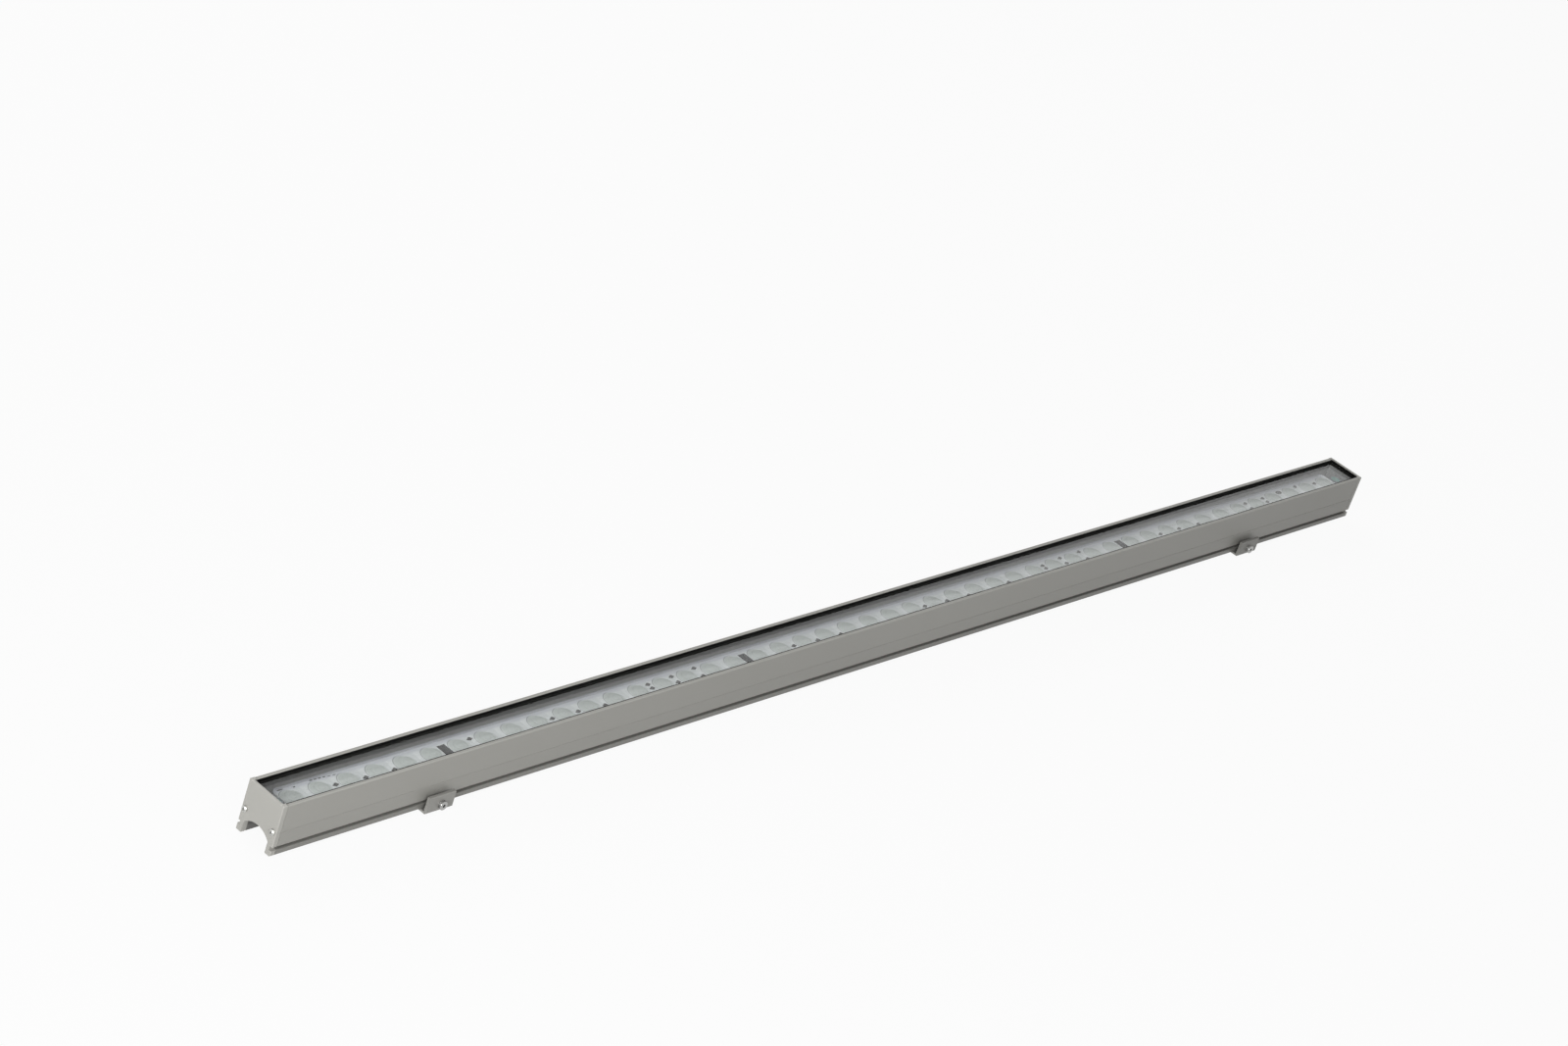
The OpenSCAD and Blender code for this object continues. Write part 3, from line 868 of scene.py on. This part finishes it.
class Piece:
    """One mesh piece in the making, put together from finished parts."""

    def __init__(self, name: str) -> None:
        """Start an empty piece; the object takes its name."""
        self.name = name
        self.mesh = bmesh.new()

    def add(self, part: bmesh.types.BMesh, places: list[Matrix]) -> None:
        """Copy a part to its places, and let it go.

        Args:
            part: The finished part round the origin.
            places: Where its copies go.
        """
        bmesh.ops.recalc_face_normals(part, faces=part.faces)
        data = bpy.data.meshes.new("part")
        part.to_mesh(data)
        part.free()
        for place in places:
            start = len(self.mesh.verts)
            self.mesh.from_mesh(data)
            self.mesh.verts.ensure_lookup_table()
            bmesh.ops.transform(self.mesh, matrix=place, verts=self.mesh.verts[start:])
        bpy.data.meshes.remove(data)

    def close(self, body: str, slot: str, material: bpy.types.Material) -> bpy.types.Object:
        """Turn the piece into an object that rides on a body.

        Args:
            body: The body that carries it.
            slot: Not used; the record's material slot that its finish belongs to.
            material: Its finish.

        Returns:
            The object.
        """
        for face in self.mesh.faces:
            face.smooth = True
        for edge in self.mesh.edges:
            edge.smooth = len(edge.link_faces) == 2 and edge.calc_face_angle(0) < SMOOTH_ANGLE
        data = bpy.data.meshes.new(self.name)
        self.mesh.to_mesh(data)
        self.mesh.free()
        data.materials.append(material)
        made = bpy.data.objects.new(self.name, data)
        bpy.context.scene.collection.objects.link(made)
        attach(made, body)
        LOG.info("%s: %d faces on %s", self.name, len(data.polygons), body)
        return made


def dress(node: str, material: bpy.types.Material) -> None:
    """Give a node of the frame its finish.

    Args:
        node: The node's name.
        material: The finish.
    """
    slots = FRAME["nodes"][node].data.materials
    slots.clear()
    slots.append(material)
    LOG.info("%s: dressed with %s", node, material.name)


# Sub-assemblies


@dataclass
class Shell:
    """Housing, end caps, gaskets and the caps' screws."""

    rim_width: float = 2.2 * MM
    coat: Colour = srgb(141, 140, 135)
    # the caps' coat is lighter than the housing's: partly its own tone, partly painted light on the end
    # faces that face the lamps
    cap_coat: Colour = srgb(154, 153, 148)
    steel: Colour = (0.52, 0.52, 0.5)

    def build(self) -> None:
        """Dress the shell's nodes."""
        low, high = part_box("housing")
        corners = ((high.y, high.z), (high.y - self.rim_width, high.z), (high.y, low.z))
        housing = CoatedMetal("grey_coat", self.coat, corners=corners, profile=ProfileShade())
        dress("housing", housing.make())
        caps = CoatedMetal("cap_coat", self.cap_coat, drawn=0.0, mottle=0.07, corners=corners).make()
        gasket = GasketRubber("gasket_rubber").make()
        low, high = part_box("cap_screws_left")
        head_radius = (high.z - low.z) / 2
        centre = (high.y - head_radius, low.z + head_radius)
        screws = TurnedSteel("cap_screw_steel", self.steel, ScrewWay.ALONG, centre).make()
        for end in End:
            dress(f"end_cap_{end.value}", caps)
            dress(f"end_gasket_{end.value}", gasket)
            dress(f"cap_screws_{end.value}", screws)


@dataclass
class Window:
    """The glass pane and its black bead."""

    def build(self) -> None:
        """Dress the pane and the bead."""
        pane_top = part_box("glass_cover")[1].z
        dress("glass_cover", PaneGlass("clear_pane").make())
        dress("glass_seal", BlackBead("black_bead", pane_top).make())


@dataclass
class Optics:
    """Lens strips, pins, boards, chips and what lies round them.

    A pin is given by the gap between two lenses that it stands in and its share of the plate's half width, a
    mark in millimetres by its place along and across the lamp, its length and its width.
    """

    strips: int = 4
    count: int = 48
    pitch: float = 20.4 * MM
    radius: float = 7.1 * MM
    plate_top: float = 22.4 * MM
    rim_foot: float = 0.05 * MM
    rim_shoulder: float = 0.04 * MM
    rim_crown: float = 0.08 * MM
    rim_radii: Triple = (0.02 * MM, 0.11 * MM, 0.2 * MM)
    rim_steps: int = 56
    slot_width: float = 5.6 * MM
    slot_length: float = 10.5 * MM
    liner_fit: float = 0.04 * MM
    liner_low: float = 17.9 * MM
    liner_sink: float = 0.1 * MM
    liner_wall: float = 0.25 * MM
    corner_steps: int = 6
    flange: Pair = pair(4.4, 1.5)
    wide_flange: Pair = pair(6.0, 3.6)
    wide_gap: int = 45
    flange_thickness: float = 0.16 * MM
    flange_proud: float = 0.12 * MM
    flange_round: float = 0.05 * MM
    oval_steps: int = 24
    marks: tuple[tuple[float, float, float, float], ...] = (
        (-481.1, 8.1, 4.4, 0.9), (-471.9, 7.2, 1.7, 0.9), (-459.2, 8.3, 2.4, 0.9), (-456.2, 8.2, 2.4, 0.9),
        (-453.2, 8.1, 2.4, 0.9), (-450.2, 7.9, 2.2, 0.8), (-447.0, 7.6, 2.8, 0.5), (-443.4, 7.3, 2.4, 0.5),
    )
    pins: tuple[tuple[int, float], ...] = (
        (2, -0.02), (3, -0.16), (4, -0.22), (7, 0.34), (10, -0.02), (11, -0.06), (12, -0.22), (14, 0.36),
        (14, -0.02), (15, 0.42), (15, -0.16), (16, 0.54), (16, -0.26), (20, -0.08), (21, -0.20),
        (22, -0.28), (26, -0.10), (27, -0.20), (28, -0.30), (30, -0.24), (32, 0.28), (32, -0.02),
        (33, 0.48), (33, -0.12), (34, 0.52), (34, -0.28), (38, -0.08), (39, -0.10), (40, -0.20),
        (43, 0.34), (43, -0.26), (44, 0.34), (44, -0.10), (45, 0.44), (46, 0.50), (47, 0.26),
    )

    @property
    def first(self) -> float:
        """Give the place of the first lens along the lamp."""
        return -self.pitch * (self.count - 1) / 2

    @cached_property
    def plate_half(self) -> float:
        """Give half the width of the lens plate."""
        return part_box("lens_strip_1")[1].y

    @cached_property
    def joints(self) -> tuple[float, ...]:
        """Give the places of the joints between the lens strips."""
        boxes = [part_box(f"lens_strip_{number + 1}") for number in range(self.strips)]
        return tuple((left[1].x + right[0].x) / 2 for left, right in zip(boxes, boxes[1:]))

    def _rims(self, material: bpy.types.Material) -> None:
        """Put the fine moulded rim round every lens.

        Args:
            material: The lens plastic.
        """
        inner, middle, outer = (self.radius + out for out in self.rim_radii)
        foot = (inner, -self.rim_foot)
        profile = [foot, (outer, -self.rim_foot), (outer, self.rim_shoulder)]
        profile += [(middle, self.rim_crown), (inner, self.rim_shoulder), foot]
        rims = Piece("lens_rims")
        spots = [self.first + number * self.pitch for number in range(self.count)]
        places = [Matrix.Translation((spot, 0, self.plate_top)) for spot in spots]
        rims.add(turned(profile, self.rim_steps), places)
        rims.close("lamp", "lens_plastic", material)

    def _shade_liner(self) -> bmesh.types.BMesh:
        """Make the dark liner that stands in a screw slot, from its low edge up to just under the plate; its
        darkness paints the shade in the slot.

        Returns:
            The closed mesh.
        """
        top = self.plate_top - self.liner_sink
        mesh = bmesh.new()
        bmesh.ops.create_grid(mesh, x_segments=1, y_segments=1, size=0.5)
        size = (self.slot_width - self.liner_fit, self.slot_length - self.liner_fit, 1)
        bmesh.ops.scale(mesh, vec=size, verts=mesh.verts)
        bmesh.ops.bevel(
            mesh, geom=mesh.verts[:], offset=self.slot_width / 3, affect="VERTICES",
            segments=self.corner_steps, profile=0.5, material=-1,
        )
        middle = mesh.faces[:]
        bmesh.ops.inset_region(mesh, faces=middle, thickness=self.liner_wall, use_boundary=True)
        bmesh.ops.delete(mesh, geom=middle, context="FACES_ONLY")
        bmesh.ops.solidify(mesh, geom=mesh.faces[:], thickness=top - self.liner_low)
        raise_to(mesh, top)
        return mesh

    def _flange_plate(self, size: Pair) -> bmesh.types.BMesh:
        """Make the flat oval flange of a pin, lying on the plate; a flange's dark colour paints the shade
        round its pin.

        Args:
            size: Its length and width.

        Returns:
            The closed mesh.
        """
        top = self.plate_top + self.flange_proud
        mesh = bmesh.new()
        bmesh.ops.create_circle(mesh, cap_ends=True, segments=self.oval_steps, radius=0.5)
        bmesh.ops.scale(mesh, vec=(*size, 1), verts=mesh.verts)
        bmesh.ops.solidify(mesh, geom=mesh.faces[:], thickness=self.flange_thickness)
        raise_to(mesh, top)
        soften(mesh, edges_at(mesh, top), self.flange_round, 1)
        return mesh

    def _lay_flanges(self, material: bpy.types.Material) -> None:
        """Put the flanges of the pins, which paint the shade round them, and the plain marks on the plate.

        Args:
            material: The plastic of the pins.
        """
        flanges = Piece("pin_shade_flanges")
        # painted shade: dark flanges round the pins
        for size, wide in ((self.flange, False), (self.wide_flange, True)):
            places = [
                Matrix.Translation((self.first + (gap - 0.5) * self.pitch, share * self.plate_half, 0))
                for gap, share in self.pins
                if (gap == self.wide_gap) == wide
            ]
            flanges.add(self._flange_plate(size), places)
        for along, across, length, width in self.marks:
            bar = self._flange_plate(pair(length, width))
            flanges.add(bar, [Matrix.Translation((along * MM, across * MM, 0))])
        flanges.close("lamp", "pin_plastic", material)

    def _dress_boards(self) -> None:
        """Dress the boards and what is mounted on them."""
        board = BoardMask("white_mask", self.joints).make()
        chip = ChipFinish("phosphor_chip", self.first, self.pitch).make()
        for number in range(self.strips):
            dress(f"led_board_{number + 1}", board)
            dress(f"led_chips_{number + 1}", chip)
        middle = self.first + self.pitch / 2
        small = {
            "board_resistors": ResistorFinish("resistor", middle, self.pitch),
            "board_screws": Moulded("dark_steel", srgb(44, 44, 42), 0.55, 0.15, scale=2000, metallic=0.2),
            "board_links": Moulded("tinned_link", srgb(190, 160, 120), 0.35, scale=2500, metallic=0.8),
            "thermal_tape": Moulded("tape", srgb(120, 122, 124), 0.8, 0.2, scale=1200, depth=0.04 * MM),
        }
        for node, finish in small.items():
            dress(node, finish.make())

    def build(self) -> None:
        """Dress the optical pieces, and add the rims of the lenses and the dark liners and flanges that
        paint shade in the screw slots and round the pins.
        """
        lens = LensPlastic(
            "lens_plastic", self.first, self.pitch, self.radius, self.plate_half, self.joints
        ).make()
        for number in range(self.strips):
            dress(f"lens_strip_{number + 1}", lens)
        self._rims(lens)
        pin = PinPlastic("pin_plastic").make()
        dress("lens_pins", pin)
        # painted shade: dark liners in the screw slots
        liners = Piece("slot_shade_liners")
        liners.add(self._shade_liner(), [Matrix.Translation((place, 0, 0)) for place in self.joints])
        shade_lining = Moulded("slot_shade_plastic", srgb(44, 45, 43), roughness=0.9).make()
        liners.close("lamp", "pin_plastic", shade_lining)
        self._lay_flanges(pin)
        self._dress_boards()


@dataclass
class Glands:
    """Cable glands, their nuts and seals."""

    tube_radius: float = 4.0 * MM
    thread_root: float = 0.1 * MM
    thread_height: float = 0.16 * MM
    thread_pitch: float = 0.8 * MM
    thread_start: float = 0.3 * MM
    thread_crest: Pair = pair(0.25, 0.35)
    thread_turns: int = 6
    thread_rise: float = 0.6 * MM
    steps: int = 48

    def _threads(self, nut_top: float, tube_top: float) -> bmesh.types.BMesh:
        """Turn the rings of thread that stand on the tube above its nut.

        Args:
            nut_top: Height of the nut's top.
            tube_top: Height of the tube's top.

        Returns:
            The closed mesh.
        """
        inner, outer = self.tube_radius - self.thread_root, self.tube_radius + self.thread_height
        profile = [(inner, nut_top)]
        for turn in range(self.thread_turns):
            height = nut_top + self.thread_start + turn * self.thread_pitch
            profile += [(self.tube_radius, height)]
            profile += [(outer, height + crest) for crest in self.thread_crest]
            profile += [(self.tube_radius, height + self.thread_rise)]
        profile += [(inner, tube_top - self.thread_rise), (inner, nut_top)]
        return turned(profile, self.steps)

    def build(self) -> None:
        """Dress the glands and add their threads."""
        nylon = Moulded("gland_nylon", srgb(84, 92, 98), roughness=0.45, speckle=0.12, scale=2500).make()
        seal = SealRubber("teal_seal", srgb(92, 140, 130)).make()
        for end in End:
            gland, nut = f"cable_gland_{end.value}", f"gland_nut_{end.value}"
            dress(gland, nylon)
            dress(nut, nylon)
            dress(f"gland_seal_{end.value}", seal)
            low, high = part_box(gland)
            threads = Piece(f"gland_threads_{end.value}")
            mesh = self._threads(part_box(nut)[1].z, high.z)
            threads.add(mesh, [Matrix.Translation(((low.x + high.x) / 2, 0, 0))])
            threads.close("lamp", "gland_nylon", nylon)


@dataclass(frozen=True)
class SocketHead:
    """The knurled head of a clamp screw, with a hexagon socket."""

    radius: float = 2.75 * MM
    height: float = 2.0 * MM
    flats: float = 2.0 * MM
    depth: float = 1.1 * MM
    sides: int = 96
    knurl_wall: float = 0.03 * MM
    knurl_depth: float = 0.09 * MM
    top_round: float = 0.32 * MM
    foot_round: float = 0.12 * MM
    first_inset: float = 0.8 * MM
    mouth: float = 0.07 * MM
    wall_lean: float = 0.01 * MM
    floor_inset: float = 0.45 * MM
    floor_dip: float = 0.2 * MM
    upright: float = 0.01

    def mesh(self) -> bmesh.types.BMesh:
        """Make the head standing on Z = 0: a knurled drum whose top face is inset down into the socket.

        Returns:
            The closed mesh.
        """
        mesh = bmesh.new()
        bmesh.ops.create_cone(
            mesh, cap_ends=True, cap_tris=False, segments=self.sides, radius1=self.radius,
            radius2=self.radius, depth=self.height, matrix=Matrix.Translation((0, 0, self.height / 2)),
        )
        soften(mesh, edges_at(mesh, self.height), self.top_round, 3)
        soften(mesh, edges_at(mesh, 0), self.foot_round, 1)
        sides = [face for face in mesh.faces if abs(face.normal.z) < self.upright]
        sides.sort(key=lambda face: math.atan2(face.normal.y, face.normal.x))
        bmesh.ops.inset_individual(
            mesh, faces=sides[::2], thickness=self.knurl_wall, depth=-self.knurl_depth,
            use_even_offset=True,
        )
        top = max(mesh.faces, key=lambda face: face.calc_center_median().z)
        bmesh.ops.inset_region(mesh, faces=[top], thickness=self.first_inset)
        for corner in top.verts:
            angle = math.atan2(corner.co.y, corner.co.x)
            from_flat = angle % math.radians(60) - math.radians(30)
            reach = self.flats / 2 / math.cos(from_flat)
            corner.co.x, corner.co.y = reach * math.cos(angle), reach * math.sin(angle)
        steps = ((self.mouth, self.mouth), (self.wall_lean, self.depth), (self.floor_inset, self.floor_dip))
        for inward, down in steps:
            bmesh.ops.inset_region(mesh, faces=[top], thickness=inward, depth=-down)
        return mesh


@dataclass(frozen=True)
class Shank:
    """The threaded shank of a clamp screw, with its plain point."""

    radius: float = 1.5 * MM
    thread_depth: float = 0.22 * MM
    pitch: float = 0.5 * MM
    turns: int = 6
    shoulder: float = 3.7 * MM
    point_radius: float = 1.2 * MM
    point_chamfer: float = 0.1 * MM
    sunk: float = 0.3 * MM
    steps: int = 40

    def mesh(self, length: float) -> bmesh.types.BMesh:
        """Turn the shank down from Z = 0, where the head stands on it.

        Args:
            length: From under the head to the tip.

        Returns:
            The closed mesh.
        """
        root = self.radius - self.thread_depth
        profile = [(0, -length), (self.point_radius - self.point_chamfer, -length)]
        profile += [(self.point_radius, self.point_chamfer - length)]
        profile += [(self.point_radius, -self.shoulder), (root, -self.shoulder)]
        for turn in range(self.turns, 0, -1):
            profile += [(self.radius, -self.pitch * turn), (root, -self.pitch * (turn - 0.5))]
        profile += [(self.radius, 0), (self.radius, self.sunk), (0, self.sunk)]
        return turned(profile, self.steps)


@dataclass
class Clip:
    """One wall clip with its clamp screw."""

    end: End
    along: float
    coat: Colour
    head: SocketHead = SocketHead()
    shank: Shank = Shank()
    steel: Colour = (0.4, 0.4, 0.39)

    def build(self) -> None:
        """Dress the clip, and put a fully shaped screw in the place of the plain one."""
        word = self.end.value
        dress(f"clip_{word}", CoatedMetal(f"clip_coat_{word}", self.coat, drawn=0.05).make())
        node = f"clamp_screw_{word}"
        low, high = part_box(node)
        face, up = low.y + self.head.height, (low.z + high.z) / 2
        place = Matrix.Translation((self.along, face, up)) @ Matrix.Rotation(math.radians(90), 4, "X")
        screw = Piece(f"socket_screw_{word}")
        screw.add(self.head.mesh(), [place])
        screw.add(self.shank.mesh(high.y - face), [place])
        centre = (self.along, up)
        steel = TurnedSteel(f"clamp_steel_{word}", self.steel, ScrewWay.ACROSS, centre, roughness=0.3)
        shown = screw.close(f"screw_{word}", "bright_steel", steel.make())
        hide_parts(node)


# Studio


@dataclass
class Softbox:
    """One soft lamp of the studio."""

    name: str
    place: Vector
    aim: Vector
    size: float
    watts: float
    mirrored: bool = True

    def build(self) -> None:
        """Hang the softbox and turn it to its aim."""
        data = bpy.data.lights.new(self.name, "AREA")
        data.shape = "DISK"
        data.size = self.size
        data.energy = self.watts
        lamp = bpy.data.objects.new(self.name, data)
        lamp.location = self.place
        lamp.rotation_euler = (self.aim - self.place).to_track_quat("-Z", "Y").to_euler()
        lamp.visible_glossy = self.mirrored
        bpy.context.scene.collection.objects.link(lamp)


MIDDLE = Vector((0, 0, 0.02))
SOFTBOXES = (
    Softbox("end_left", Vector((-1.9, -0.5, 0.6)), Vector((-0.3, 0, 0)), 1.0, 27.2),
    Softbox("front_left", Vector((-1.1, -1.35, 0.85)), Vector((-0.5, 0, 0)), 1.4, 20.4, mirrored=False),
    Softbox("back", Vector((0.3, 2.2, 1.5)), MIDDLE, 1.8, 38),
    Softbox("above", Vector((0.35, 0.25, 1.9)), MIDDLE, 1.4, 4.5, mirrored=False),
)


@dataclass
class Studio:
    """Floor, world, lamps and camera."""

    camera_place: Vector
    camera_turn: Euler
    focal: float
    sensor: float = 36
    sight: float = 100
    sky: float = 0.12
    white: Colour = (1.0, 1.0, 1.0)
    floor_tone: Colour = (0.5, 0.5, 0.5)
    floor_kept: float = 0.06
    floor_size: float = 30
    floor_drop: float = 0.4 * MM
    seen_by: tuple[str, ...] = ("Camera", "Glossy", "Transmission")

    def floor(self) -> None:
        """Lay the pale floor, which shows almost white but keeps the lamp's shadow."""
        tree = ShaderTree("pale_floor")
        pale = tree.node("ShaderNodeBsdfDiffuse", {}, {"Color": self.floor_tone})
        white = tree.node("ShaderNodeEmission", {}, {"Color": self.white, "Strength": 1.0})
        material = tree.finish(tree.mixed(tree.rays(*self.seen_by) * (1 - self.floor_kept), pale, white))
        mesh = bmesh.new()
        bmesh.ops.create_grid(mesh, x_segments=1, y_segments=1, size=self.floor_size)
        data = bpy.data.meshes.new("floor")
        mesh.to_mesh(data)
        mesh.free()
        data.materials.append(material)
        floor = bpy.data.objects.new("floor", data)
        floor.location.z = -self.floor_drop
        bpy.context.scene.collection.objects.link(floor)

    def world(self) -> None:
        """Light the room evenly, and show it white."""
        world = bpy.data.worlds.new("studio")
        world.use_nodes = True
        tree = NodeMaker(world.node_tree)
        light = tree.node("ShaderNodeBackground", {}, {"Color": self.white, "Strength": self.sky})
        white = tree.node("ShaderNodeBackground", {}, {"Color": self.white, "Strength": 1})
        shown = tree.mixed(tree.rays(*self.seen_by), light, white)
        tree.raw("ShaderNodeOutputWorld", {}, {"Surface": shown})
        bpy.context.scene.world = world

    def camera(self) -> None:
        """Stand the camera where the photograph was taken from."""
        data = bpy.data.cameras.new("camera")
        data.lens = self.focal
        data.sensor_width = self.sensor
        data.clip_end = self.sight
        camera = bpy.data.objects.new("camera", data)
        camera.location = self.camera_place
        camera.rotation_euler = self.camera_turn
        bpy.context.scene.collection.objects.link(camera)
        bpy.context.scene.camera = camera

    def build(self) -> None:
        """Build the whole studio."""
        self.floor()
        self.world()
        self.camera()
        for softbox in SOFTBOXES:
            softbox.build()
        bpy.context.scene.view_settings.view_transform = "Standard"


def main() -> None:
    """Build the studio and every sub-assembly in order, and report each."""
    assemblies = (
        Studio(Vector((-1.88024, -1.18006, 1.21065)), Euler((1.070164, -0.29483, -0.81925)), focal=95.894),
        Shell(),
        Window(),
        Optics(),
        Glands(),
        Clip(End.LEFT, along=-380.7 * MM, coat=srgb(131, 130, 126)),
        # the right clip's coat is darker than the left's: painted shade
        Clip(End.RIGHT, along=375.1 * MM, coat=srgb(122, 121, 117)),
    )
    for assembly in assemblies:
        assembly.build()
        LOG.info("%s is done", type(assembly).__name__)


if __name__ == "__main__":
    logging.basicConfig(level=logging.INFO)
    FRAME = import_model()
    main()
